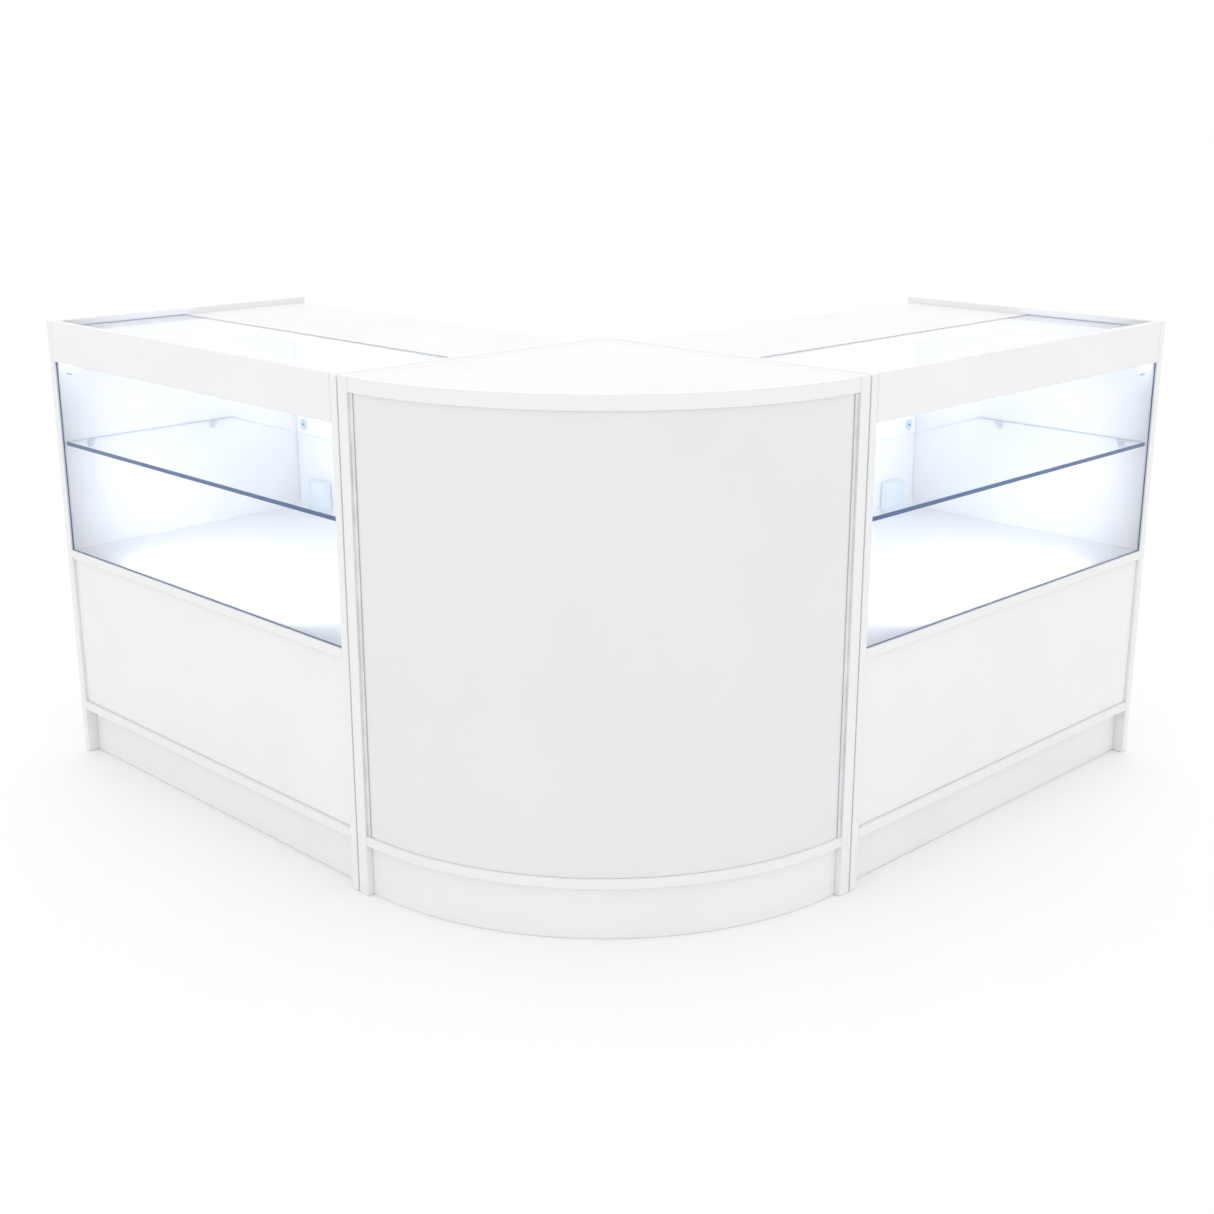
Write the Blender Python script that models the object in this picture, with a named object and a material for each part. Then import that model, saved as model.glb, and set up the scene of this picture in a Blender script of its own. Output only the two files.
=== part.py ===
"""L-shaped shop checkout counter: two glass showcase counters joined by a quarter-round corner unit.

Metres, +Z up. The origin is on the floor under the middle of the set. The corner unit fills the
corner at -X -Y, the right counter runs from it along +X and the left counter along +Y. Customers
stand on the -X and -Y sides, staff stand in the inner angle on the +X and +Y sides.
"""

import math

import bmesh
import bpy
from mathutils import Matrix, Vector

# Overall size
COUNTER_WIDTH = 0.950
COUNTER_DEPTH = 0.600
COUNTER_HEIGHT = 0.900
CORNER_SIDE = 0.600
UNIT_GAP = 0.003

# Boards and clearances
BOARD = 0.018
FIT_GAP = 0.0003
EDGE_CHAMFER = 0.0008
SHARP_ANGLE = math.radians(30)

# Heights of the showcase counters
PLINTH_TOP = 0.094
BASE_TOP = PLINTH_TOP + BOARD
DECK_TOP = 0.438
FASCIA_BOTTOM = 0.821
WORKTOP_TOP = 0.888

# Depths, measured back from the front face of a counter
PLINTH_SETBACK = 0.022
PANEL_SETBACK = 0.006
PANEL_THICKNESS = 0.016
WORKTOP_FRONT = 0.303

# Glass
PANE = 0.006
GLASS_CHAMFER = 0.0005
SHELF_PANE = 0.008
PANE_SETBACK = 0.0033
GROOVE_DEPTH = 0.008
TOP_GROOVE_DEPTH = 0.006
REBATE = 0.012
GLASS_SIDE_GAP = 0.0006
SHELF_TOP = 0.661
SHELF_FRONT = 0.014
SHELF_BACK = 0.400
SHELF_SIDE_GAP = 0.0019

# Shelf supports
SUPPORT_DEPTHS = (0.065, 0.350)
SUPPORT_WIDTH = 0.012
SUPPORT_HEIGHT = 0.016
SUPPORT_REACH = 0.012
SUPPORT_WALL = 0.002
SUPPORT_FOOT = 0.004
PIN_RADIUS = 0.0024
PIN_BORE = 0.0027
PIN_LENGTH = 0.008
PIN_DROP = 0.010

# Sliding doors on the staff side
DOOR = 0.014
FRONT_TRACK = 0.565
REAR_TRACK = 0.583
DOOR_OVERLAP = 0.032
DOOR_END_GAP = 0.001
TRACK_FRONT = 0.5615
TRACK_FLOOR = 0.0025
TRACK_RIB = 0.0108
TRACK_WALL = 0.0018
DOOR_LIFT = 0.0004
DOOR_TOP_GAP = 0.0017

# Finger pulls
PULL_INSET = 0.026
PULL_HEIGHT = 0.626
PULL_RADIUS = 0.012
PULL_FLANGE = 0.015
PULL_FLANGE_THICKNESS = 0.001
PULL_WALL = 0.0015
PULL_FLOOR = 0.0025
PULL_SCREW_RADIUS = 0.0026
PULL_SCREW_RISE = 0.0008
PULL_OUTER_INSET = -0.001
PULL_INNER_INSET = 0.0004
PULL_RIM = 0.0008
PULL_DISH = 0.0006
PULL_EDGE = 0.0005

# Plunger lock
LOCK_HEIGHT = 0.653
LOCK_TRAVEL = 0.008
LOCK_BODY = (0.024, 0.0147, 0.040)
LOCK_CHAMFER = 0.0025
LOCK_BORE = 0.0061
PLUNGER_CHAMFER = 0.0006
PLUNGER_RADIUS = 0.0057
BOLT_RADIUS = 0.0036
BOLT_BORE = 0.0041
STRIKER_BORE = 0.0046

# Lighting
LED_WIDTH = 0.014
LED_HEIGHT = 0.010
LED_WALL = 0.0016
LED_RISE = 0.006
LED_END_GAP = 0.004
DRIVER_CHAMFER = 0.003
DRIVER_SIZE = (0.062, 0.018, 0.066)
DRIVER_INSET = 0.062
DRIVER_BACK = 0.5605

# Corner unit
CORNER_BOARD = 0.025
CORNER_TOP_THICKNESS = 0.025
CORNER_PANEL_SETBACK = 0.004
CORNER_PANEL_THICKNESS = 0.006
CORNER_PLINTH_SETBACK = 0.012
CORNER_PLINTH_THICKNESS = 0.009
FORMER_HEIGHT = 0.480
FORMER_WIDTH = 0.060
TRIM_FACE = 0.010
TRIM_LIP = 0.003
TRIM_THICKNESS = 0.0015
ARC_STEPS = 48
ROUND_STEPS = 24

# Worked out from the sizes above
SPAN = CORNER_SIDE + UNIT_GAP + COUNTER_WIDTH
INNER_CORNER = CORNER_SIDE - SPAN / 2
INSIDE = (BOARD + FIT_GAP, COUNTER_WIDTH - BOARD - FIT_GAP)
ARC_RADIUS = CORNER_SIDE - CORNER_BOARD
DOOR_WIDTH = (COUNTER_WIDTH - 2 * BOARD + DOOR_OVERLAP) / 2 - DOOR_END_GAP
DOOR_BOTTOM = DECK_TOP + FIT_GAP + TRACK_FLOOR + DOOR_LIFT
DOOR_TOP = WORKTOP_TOP - BOARD - FIT_GAP - TRACK_FLOOR - DOOR_TOP_GAP
TRACK_BACK = COUNTER_DEPTH

MATERIALS = {
    "white_board": ((0.93, 0.93, 0.94), 0.35, 0.0),
    "grey_laminate": ((0.80, 0.80, 0.81), 0.45, 0.0),
    "clear_glass": ((0.72, 0.83, 0.92), 0.03, 0.0),
    "aluminium": ((0.78, 0.79, 0.81), 0.30, 1.0),
    "nickel": ((0.66, 0.67, 0.69), 0.25, 1.0),
    "white_plastic": ((0.88, 0.88, 0.89), 0.40, 0.0),
    "clear_plastic": ((0.70, 0.76, 0.80), 0.20, 0.0),
}


def clear_scene():
    for obj in list(bpy.data.objects):
        bpy.data.objects.remove(obj, do_unlink=True)


def material(name):
    found = bpy.data.materials.get(name)
    if found:
        return found
    colour, roughness, metallic = MATERIALS[name]
    made = bpy.data.materials.new(name)
    made.use_nodes = True
    shader = made.node_tree.nodes["Principled BSDF"]
    shader.inputs["Base Color"].default_value = (*colour, 1.0)
    shader.inputs["Roughness"].default_value = roughness
    shader.inputs["Metallic"].default_value = metallic
    made.diffuse_color = (*colour, 1.0)
    return made


def unit(name, location, turn_degrees):
    """An empty that carries one unit of the set."""
    empty = bpy.data.objects.new(name, None)
    empty.location = location
    empty.rotation_euler = (0.0, 0.0, math.radians(turn_degrees))
    bpy.context.scene.collection.objects.link(empty)
    return empty


def place(name, shape, centre, parent, surface):
    """Turns a bmesh built around its own origin into a named object at centre under parent."""
    bmesh.ops.recalc_face_normals(shape, faces=shape.faces)
    mesh = bpy.data.meshes.new(name)
    shape.to_mesh(mesh)
    shape.free()
    mesh.materials.append(material(surface))
    mesh.shade_smooth()
    mesh.set_sharp_from_angle(angle=SHARP_ANGLE)
    obj = bpy.data.objects.new(name, mesh)
    obj.location = centre
    obj.parent = parent
    bpy.context.scene.collection.objects.link(obj)
    return obj


def block(name, low, high, parent, surface, chamfer=EDGE_CHAMFER):
    """A rectangular board between two corners, with its edges broken."""
    low, high = Vector(low), Vector(high)
    shape = bmesh.new()
    bmesh.ops.create_cube(shape, size=1.0)
    bmesh.ops.scale(shape, vec=high - low, verts=shape.verts)
    if chamfer:
        bmesh.ops.bevel(shape, geom=shape.edges, offset=chamfer, segments=1, affect="EDGES")
    return place(name, shape, (low + high) / 2, parent, surface)


def prism(name, outline, to_point, length, parent, surface):
    """A closed outline of (a, b) pairs swept from 0 to length, each point placed by to_point(a, b, c)."""
    centre = to_point(*outline[0], 0.0)
    shape = bmesh.new()
    rings = []
    for c in (0.0, length):
        rings.append([shape.verts.new(to_point(a, b, c) - centre) for a, b in outline])
    first, last = rings
    shape.faces.new(first)
    shape.faces.new(reversed(last))
    for i in range(len(outline)):
        j = (i + 1) % len(outline)
        shape.faces.new((first[i], first[j], last[j], last[i]))
    return place(name, shape, centre, parent, surface)


def turned(name, profile, centre, parent, surface):
    """A profile of (radius, depth) pairs, from axis to axis, turned round the front-to-back axis."""
    shape = bmesh.new()
    points = [shape.verts.new((radius, depth, 0.0)) for radius, depth in profile]
    edges = [shape.edges.new(pair) for pair in zip(points, points[1:])]
    bmesh.ops.spin(
        shape,
        geom=points + edges,
        cent=(0.0, 0.0, 0.0),
        axis=(0.0, 1.0, 0.0),
        angle=2 * math.pi,
        steps=ROUND_STEPS,
        use_duplicate=False,
    )
    bmesh.ops.remove_doubles(shape, verts=shape.verts, dist=1e-6)
    return place(name, shape, centre, parent, surface)


def cut(target, cutter):
    """Takes the cutter's shape out of the target and hides the cutter."""
    cutter.hide_render = True
    cutter.display_type = "WIRE"
    modifier = target.modifiers.new(cutter.name, "BOOLEAN")
    modifier.operation = "DIFFERENCE"
    modifier.solver = "EXACT"
    modifier.object = cutter


def cut_block(target, low, high):
    cutter = block(target.name + "_cut", low, high, target.parent, "white_board", 0.0)
    cut(target, cutter)


def cut_bore(target, centre, radius, half_length, axis):
    """A round bore along the counter's width ("s") or its depth ("t")."""
    shape = bmesh.new()
    turn = Matrix.Rotation(math.pi / 2, 4, "Y" if axis == "s" else "X")
    bmesh.ops.create_cone(
        shape,
        cap_ends=True,
        segments=ROUND_STEPS,
        radius1=radius,
        radius2=radius,
        depth=2 * half_length,
        matrix=turn,
    )
    cut(target, place(target.name + "_bore", shape, centre, target.parent, "white_board"))


class Counter:
    """One showcase counter in its own frame: x = side * (distance from the corner unit), y = depth."""

    def __init__(self, name, side, location, turn_degrees):
        self.name = name
        self.side = side
        self.parent = unit(name + "_counter", location, turn_degrees)

    def board(self, part, s, t, z, surface="white_board", chamfer=EDGE_CHAMFER):
        ends = sorted((self.side * s[0], self.side * s[1]))
        low = (ends[0], t[0], z[0])
        high = (ends[1], t[1], z[1])
        return block(f"{self.name}_{part}", low, high, self.parent, surface, chamfer)

    def groove(self, target, s, t, z):
        ends = sorted((self.side * s[0], self.side * s[1]))
        cut_block(target, (ends[0], t[0], z[0]), (ends[1], t[1], z[1]))

    def rail(self, part, outline, s, surface):
        """An outline of (depth, height) pairs swept along the width from s[0] to s[1]."""

        def to_point(t, z, along):
            return Vector((self.side * (s[0] + along), t, z))

        return prism(f"{self.name}_{part}", outline, to_point, s[1] - s[0], self.parent, surface)

    def at(self, s, t, z):
        return Vector((self.side * s, t, z))

    def build(self):
        self.carcass()
        self.glazing()
        for label, wall, inward in (("inner", BOARD, 1), ("outer", COUNTER_WIDTH - BOARD, -1)):
            for row, depth in zip(("front", "back"), SUPPORT_DEPTHS):
                self.shelf_support(f"shelf_support_{label}_{row}", wall, inward, depth)
        self.tracks()
        self.doors()
        self.lock()
        self.lighting()

    def carcass(self):
        for label, low in (("inner", 0.0), ("outer", COUNTER_WIDTH - BOARD)):
            panel = self.board(
                f"end_panel_{label}",
                (low, low + BOARD),
                (0.0, COUNTER_DEPTH),
                (0.0, COUNTER_HEIGHT),
            )
            face = BOARD if label == "inner" else COUNTER_WIDTH - BOARD
            for depth in SUPPORT_DEPTHS:
                centre = self.at(face, depth, SHELF_TOP - SHELF_PANE - PIN_DROP)
                cut_bore(panel, centre, PIN_BORE, PIN_LENGTH + FIT_GAP, "s")
        fascia = self.board("fascia", INSIDE, (0.0, BOARD), (FASCIA_BOTTOM, COUNTER_HEIGHT))
        pane_slot = (PANE_SETBACK - FIT_GAP, PANE_SETBACK + PANE + FIT_GAP)
        self.groove(fascia, (0.0, COUNTER_WIDTH), pane_slot, (0.0, FASCIA_BOTTOM + GROOVE_DEPTH))
        top_slot = (WORKTOP_TOP - PANE - FIT_GAP, WORKTOP_TOP + FIT_GAP)
        self.groove(
            fascia,
            (0.0, COUNTER_WIDTH),
            (BOARD - TOP_GROOVE_DEPTH, COUNTER_DEPTH),
            top_slot,
        )
        bottom = WORKTOP_TOP - BOARD
        ledge = WORKTOP_TOP - PANE - FIT_GAP
        worktop_section = (
            (WORKTOP_FRONT - REBATE, bottom),
            (COUNTER_DEPTH, bottom),
            (COUNTER_DEPTH, WORKTOP_TOP - EDGE_CHAMFER),
            (COUNTER_DEPTH - EDGE_CHAMFER, WORKTOP_TOP),
            (WORKTOP_FRONT + EDGE_CHAMFER, WORKTOP_TOP),
            (WORKTOP_FRONT, WORKTOP_TOP - EDGE_CHAMFER),
            (WORKTOP_FRONT, ledge),
            (WORKTOP_FRONT - REBATE, ledge),
        )
        self.rail("worktop", worktop_section, INSIDE, "white_board")
        self.board("deck", INSIDE, (0.0, COUNTER_DEPTH), (DECK_TOP - BOARD, DECK_TOP))
        self.board("base_board", INSIDE, (0.0, COUNTER_DEPTH), (PLINTH_TOP, BASE_TOP))
        self.board(
            "lower_front_panel",
            INSIDE,
            (PANEL_SETBACK, PANEL_SETBACK + PANEL_THICKNESS),
            (BASE_TOP + FIT_GAP, DECK_TOP - BOARD - FIT_GAP),
        )
        self.board(
            "plinth",
            INSIDE,
            (PLINTH_SETBACK, PLINTH_SETBACK + BOARD),
            (0.0, PLINTH_TOP - FIT_GAP),
        )

    def glazing(self):
        glass_width = (BOARD + GLASS_SIDE_GAP, COUNTER_WIDTH - BOARD - GLASS_SIDE_GAP)
        self.board(
            "front_glass",
            glass_width,
            (PANE_SETBACK, PANE_SETBACK + PANE),
            (DECK_TOP + FIT_GAP, FASCIA_BOTTOM + GROOVE_DEPTH - FIT_GAP),
            "clear_glass",
            GLASS_CHAMFER,
        )
        self.board(
            "top_glass",
            glass_width,
            (BOARD - TOP_GROOVE_DEPTH + FIT_GAP, WORKTOP_FRONT - FIT_GAP),
            (WORKTOP_TOP - PANE, WORKTOP_TOP),
            "clear_glass",
            GLASS_CHAMFER,
        )
        shelf_width = (BOARD + SHELF_SIDE_GAP, COUNTER_WIDTH - BOARD - SHELF_SIDE_GAP)
        self.board(
            "glass_shelf",
            shelf_width,
            (SHELF_FRONT, SHELF_BACK),
            (SHELF_TOP - SHELF_PANE, SHELF_TOP),
            "clear_glass",
            GLASS_CHAMFER,
        )

    def shelf_support(self, part, wall, inward, depth):
        """A spade-shaped support: a wall plate and a ledge under the shelf, on a pin in the end panel."""
        top = SHELF_TOP - SHELF_PANE - FIT_GAP
        face = wall + inward * FIT_GAP
        section = (
            (face, top - SUPPORT_HEIGHT),
            (face + inward * SUPPORT_WALL, top - SUPPORT_HEIGHT),
            (face + inward * SUPPORT_WALL, top - SUPPORT_HEIGHT + SUPPORT_FOOT),
            (face + inward * SUPPORT_REACH, top - SUPPORT_WALL),
            (face + inward * SUPPORT_REACH, top),
            (face, top),
        )

        def to_point(s, z, along):
            return Vector((self.side * s, depth - SUPPORT_WIDTH / 2 + along, z))

        name = f"{self.name}_{part}"
        support = prism(name, section, to_point, SUPPORT_WIDTH, self.parent, "clear_plastic")
        shape = bmesh.new()
        bmesh.ops.create_cone(
            shape,
            cap_ends=True,
            segments=ROUND_STEPS // 2,
            radius1=PIN_RADIUS,
            radius2=PIN_RADIUS,
            depth=PIN_LENGTH + SUPPORT_WALL / 2,
            matrix=Matrix.Rotation(math.pi / 2, 4, "Y"),
        )
        middle = wall - inward * (PIN_LENGTH - SUPPORT_WALL / 2) / 2
        centre = self.at(middle, depth, top + FIT_GAP - PIN_DROP)
        pin = place(name + "_pin", shape, centre, self.parent, "clear_plastic")
        cut(support, pin)
        support.modifiers[-1].operation = "UNION"

    def tracks(self):
        """Twin-channel tracks above and below the sliding doors."""
        middle = (FRONT_TRACK + DOOR + REAR_TRACK) / 2
        ribs = (
            (TRACK_FRONT, TRACK_FRONT + TRACK_WALL),
            (middle - TRACK_WALL / 2, middle + TRACK_WALL / 2),
            (TRACK_BACK - TRACK_WALL, TRACK_BACK),
        )
        for part, foot, up in (
            ("door_track_bottom", DECK_TOP + FIT_GAP, 1),
            ("door_track_top", WORKTOP_TOP - BOARD - FIT_GAP, -1),
        ):
            floor = foot + up * TRACK_FLOOR
            tip = foot + up * TRACK_RIB
            steps = []
            for low, high in ribs:
                steps += [(low, floor), (low, tip), (high, tip), (high, floor)]
            outline = [(TRACK_FRONT, foot)] + steps[1:-1] + [(TRACK_BACK, foot)]
            self.rail(part, outline, INSIDE, "white_plastic")

    def doors(self):
        far = COUNTER_WIDTH - BOARD - DOOR_END_GAP
        near = BOARD + DOOR_END_GAP
        for label, ends, track, pull_s, inset in (
            ("outer", (far - DOOR_WIDTH, far), FRONT_TRACK, far - PULL_INSET, PULL_OUTER_INSET),
            ("inner", (near, near + DOOR_WIDTH), REAR_TRACK, near + PULL_INSET, PULL_INNER_INSET),
        ):
            door = self.board(
                f"sliding_door_{label}",
                ends,
                (track, track + DOOR),
                (DOOR_BOTTOM, DOOR_TOP),
            )
            centre = self.at(pull_s, track + DOOR / 2, PULL_HEIGHT)
            cut_bore(door, centre, PULL_RADIUS + FIT_GAP, DOOR, "t")
            self.finger_pull(f"finger_pull_{label}", pull_s, track, inset)

    def finger_pull(self, part, s, track, inset):
        """A round cup, open to the staff, closed towards the display and held by a screw there."""
        back = DOOR + FIT_GAP
        rear = back + PULL_FLANGE_THICKNESS
        dish = inset + PULL_DISH
        screw = dish + PULL_DISH if inset > 0 else inset - PULL_SCREW_RISE
        profile = (
            (0.0, screw),
            (PULL_SCREW_RADIUS, screw),
            (PULL_SCREW_RADIUS + PULL_DISH, dish),
            (PULL_RADIUS - 2 * PULL_RIM, dish),
            (PULL_RADIUS - PULL_RIM, inset),
            (PULL_RADIUS, inset + PULL_RIM),
            (PULL_RADIUS, back),
            (PULL_FLANGE, back),
            (PULL_FLANGE - PULL_EDGE, rear),
            (PULL_RADIUS - PULL_WALL, rear),
            (PULL_RADIUS - PULL_WALL, dish + PULL_FLOOR),
            (0.0, dish + PULL_FLOOR),
        )
        centre = self.at(s, track, PULL_HEIGHT)
        turned(f"{self.name}_{part}", profile, centre, self.parent, "nickel")

    def lock(self):
        """A plunger lock on the rear-track door, whose bolt pins it to the front-track door."""
        s = COUNTER_WIDTH / 2
        inner_door = bpy.data.objects[f"{self.name}_sliding_door_inner"]
        outer_door = bpy.data.objects[f"{self.name}_sliding_door_outer"]
        door_back = REAR_TRACK + DOOR
        cut_bore(inner_door, self.at(s, REAR_TRACK + DOOR / 2, LOCK_HEIGHT), BOLT_BORE, DOOR, "t")
        striker = self.at(s, FRONT_TRACK + DOOR, LOCK_HEIGHT)
        cut_bore(outer_door, striker, STRIKER_BORE, LOCK_TRAVEL, "t")
        front = door_back + FIT_GAP
        back = front + LOCK_BODY[1]
        body = self.board(
            "lock_body",
            (s - LOCK_BODY[0] / 2, s + LOCK_BODY[0] / 2),
            (front, back),
            (LOCK_HEIGHT - LOCK_BODY[2] / 2, LOCK_HEIGHT + LOCK_BODY[2] / 2),
            "nickel",
            LOCK_CHAMFER,
        )
        cut_bore(body, self.at(s, (front + back) / 2, LOCK_HEIGHT), LOCK_BORE, LOCK_BODY[1], "t")
        shoulder = front + FIT_GAP + LOCK_TRAVEL
        head = back + LOCK_TRAVEL
        tip = REAR_TRACK + FIT_GAP
        profile = (
            (0.0, tip),
            (BOLT_RADIUS - PLUNGER_CHAMFER, tip),
            (BOLT_RADIUS, tip + PLUNGER_CHAMFER),
            (BOLT_RADIUS, shoulder),
            (PLUNGER_RADIUS, shoulder),
            (PLUNGER_RADIUS, head - PLUNGER_CHAMFER),
            (PLUNGER_RADIUS - PLUNGER_CHAMFER, head),
            (0.0, head),
        )
        from_front = [(radius, depth - front) for radius, depth in profile]
        centre = self.at(s, front, LOCK_HEIGHT)
        turned(f"{self.name}_lock_plunger", from_front, centre, self.parent, "nickel")

    def lighting(self):
        """An aluminium light channel behind the fascia and its driver box on the deck."""
        front = BOARD + FIT_GAP
        back = front + LED_WIDTH
        low = FASCIA_BOTTOM + LED_RISE
        high = low + LED_HEIGHT
        channel = (
            (front, low),
            (front + LED_WALL, low),
            (front + LED_WALL, high - LED_WALL),
            (back - LED_WALL, high - LED_WALL),
            (back - LED_WALL, low),
            (back, low),
            (back, high),
            (front, high),
        )
        ends = (BOARD + LED_END_GAP, COUNTER_WIDTH - BOARD - LED_END_GAP)
        self.rail("led_channel", channel, ends, "aluminium")
        far = COUNTER_WIDTH - DRIVER_INSET - BOARD
        self.board(
            "led_driver",
            (far - DRIVER_SIZE[0], far),
            (DRIVER_BACK - DRIVER_SIZE[1], DRIVER_BACK),
            (DECK_TOP + FIT_GAP, DECK_TOP + FIT_GAP + DRIVER_SIZE[2]),
            "white_plastic",
            DRIVER_CHAMFER,
        )


def arc(radius, start, end, steps=ARC_STEPS):
    """Points on an arc round the inside corner of the two end panels, angles in radians."""
    points = []
    for i in range(steps + 1):
        angle = start + (end - start) * i / steps
        across = CORNER_BOARD + radius * math.cos(angle)
        back = CORNER_BOARD + radius * math.sin(angle)
        points.append((across, back))
    return points


def sector(name, outer, inner, low, high, parent, surface):
    """An upright curved board between the two end panels."""
    first = math.asin(2 * FIT_GAP / inner)
    last = math.pi / 2 - first
    outline = arc(outer, first, last) + arc(inner, last, first)
    return layer(name, outline, low, high, parent, surface)


def layer(name, outline, low, high, parent, surface):
    """An outline of (x, y) pairs standing from low to high."""

    def to_point(x, y, up):
        return Vector((x, y, low + up))

    return prism(name, outline, to_point, high - low, parent, surface)


def corner_unit():
    """The quarter-round unit: both end panels meet at its origin and it grows along +x and +y."""
    parent = unit("corner_unit", (INNER_CORNER, INNER_CORNER, 0.0), 180.0)
    block(
        "corner_end_panel_left",
        (0.0, 0.0, 0.0),
        (CORNER_SIDE, CORNER_BOARD, COUNTER_HEIGHT),
        parent,
        "white_board",
    )
    block(
        "corner_end_panel_right",
        (0.0, CORNER_BOARD + FIT_GAP, 0.0),
        (CORNER_BOARD, CORNER_SIDE, COUNTER_HEIGHT),
        parent,
        "white_board",
    )
    start = math.asin(2 * FIT_GAP / ARC_RADIUS)
    corner = CORNER_BOARD + 2 * FIT_GAP
    outline = [(corner, corner)] + arc(ARC_RADIUS, start, math.pi / 2 - start)
    top_bottom = COUNTER_HEIGHT - CORNER_TOP_THICKNESS
    panel_top = top_bottom - FIT_GAP
    layer("corner_top", outline, top_bottom, COUNTER_HEIGHT, parent, "white_board")
    layer("corner_base_board", outline, PLINTH_TOP, BASE_TOP, parent, "white_board")
    plinth = ARC_RADIUS - CORNER_PLINTH_SETBACK
    sector(
        "corner_plinth",
        plinth,
        plinth - CORNER_PLINTH_THICKNESS,
        0.0,
        PLINTH_TOP - FIT_GAP,
        parent,
        "white_board",
    )
    skin = ARC_RADIUS - CORNER_PANEL_SETBACK
    skin_inside = skin - CORNER_PANEL_THICKNESS
    skin_low = BASE_TOP + FIT_GAP
    sector("corner_curved_panel", skin, skin_inside, skin_low, panel_top, parent, "grey_laminate")
    former = skin_inside - FIT_GAP
    sector(
        "corner_former",
        former,
        former - FORMER_WIDTH,
        FORMER_HEIGHT,
        FORMER_HEIGHT + BOARD,
        parent,
        "white_board",
    )
    for label, swap in (("left", False), ("right", True)):
        trim(f"corner_trim_{label}", swap, skin, skin_low, panel_top, parent)


def trim(name, swap, skin, low, high, parent):
    """An L-shaped metal trim in the angle between the curved panel and an end panel."""
    wall = CORNER_BOARD + 2 * FIT_GAP
    back = CORNER_BOARD + skin + 2 * FIT_GAP
    outline = [
        (back, wall),
        (back + TRIM_LIP, wall),
        (back + TRIM_LIP, wall + TRIM_THICKNESS),
        (back + TRIM_THICKNESS, wall + TRIM_THICKNESS),
        (back + TRIM_THICKNESS, wall + TRIM_FACE),
        (back, wall + TRIM_FACE),
    ]
    if swap:
        outline = [(y, x) for x, y in outline]
    layer(name, outline, low, high - FIT_GAP, parent, "aluminium")


def main():
    clear_scene()
    corner_unit()
    near = INNER_CORNER + UNIT_GAP
    front = INNER_CORNER - COUNTER_DEPTH
    Counter("right", 1, (near, front, 0.0), 0.0).build()
    Counter("left", -1, (front, near, 0.0), -90.0).build()


main()
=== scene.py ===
"""Looks of the L-shaped checkout counter: two glass showcase counters beside a quarter-round corner unit.

Metres, +Z up. Counter parts are placed by (s, t, z): s runs along the counter from the corner unit,
t from its customer face towards the staff, z up. The left counter is the right one mirrored in x = y.
"""

import math

import bmesh
import bpy
from mathutils import Matrix, Vector


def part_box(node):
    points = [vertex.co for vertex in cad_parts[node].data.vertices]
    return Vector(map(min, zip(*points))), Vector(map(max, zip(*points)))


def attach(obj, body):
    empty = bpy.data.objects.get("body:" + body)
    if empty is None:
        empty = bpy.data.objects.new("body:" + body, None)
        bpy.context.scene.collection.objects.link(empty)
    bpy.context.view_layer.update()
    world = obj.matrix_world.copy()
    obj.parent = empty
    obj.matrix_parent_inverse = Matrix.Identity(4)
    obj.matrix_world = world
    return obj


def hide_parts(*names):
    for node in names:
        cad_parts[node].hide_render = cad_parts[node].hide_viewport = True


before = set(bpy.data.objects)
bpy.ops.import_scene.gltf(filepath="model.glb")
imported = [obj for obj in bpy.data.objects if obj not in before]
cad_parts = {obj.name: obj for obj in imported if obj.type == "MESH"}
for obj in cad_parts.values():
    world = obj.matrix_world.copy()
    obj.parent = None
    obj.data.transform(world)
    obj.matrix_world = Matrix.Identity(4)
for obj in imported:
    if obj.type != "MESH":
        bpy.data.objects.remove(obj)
SIDES = ("left", "right")
BOARD = 0.018
CORNER_BOARD = 0.025
COUNTER_WIDTH = 0.950
AXES = "xyz"

# Camera
CAMERA_PLACE = (-2.391, -2.409, 1.330)
CAMERA_TILT = 73.341
CAMERA_TURN = -44.837
LENS = 51.02

# Colours
MELAMINE = (0.835, 0.836, 0.842)
MELAMINE_DEEP = (0.815, 0.817, 0.826)
BAND = (0.815, 0.816, 0.821)
# Painted shade: the darker colour given to the boards' rounded arrises
ARRIS_PAINTED_SHADE = (0.74, 0.745, 0.76)
SCUFF = (0.62, 0.61, 0.60)
LAMINATE = (0.775, 0.777, 0.782)
LAMINATE_DEEP = (0.755, 0.757, 0.764)
GLASS_TINT = (0.955, 0.975, 1.0)
GLASS_EDGE = (0.012, 0.120, 0.350)
GLASS_EDGE_DEEP = (0.008, 0.095, 0.300)
# Painted light: a paler copy of the glass edge blue for the shelf's back and end edges
GLASS_SIDE_PAINTED_LIGHT = (0.42, 0.56, 0.72)
GLASS_SIDE_PAINTED_LIGHT_DEEP = (0.34, 0.48, 0.66)
ALUMINIUM = (0.79, 0.80, 0.82)
NICKEL = (0.62, 0.63, 0.65)
PLASTIC = (0.86, 0.86, 0.87)
DRIVER_PLASTIC = (0.62, 0.72, 0.79)
# Painted light: the cool blue cast of the showcase light, on the nickel finger cup's face towards the display
PULL_FACE_PAINTED_LIGHT = (0.50, 0.66, 0.84)
# Painted shade: the near-black navy given to the finger cup's nickel screw
PULL_SCREW_PAINTED_SHADE = (0.06, 0.11, 0.20)
CLEAR_PLASTIC = (0.46, 0.66, 0.76)
LIGHT = (0.80, 0.87, 1.0)

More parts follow.
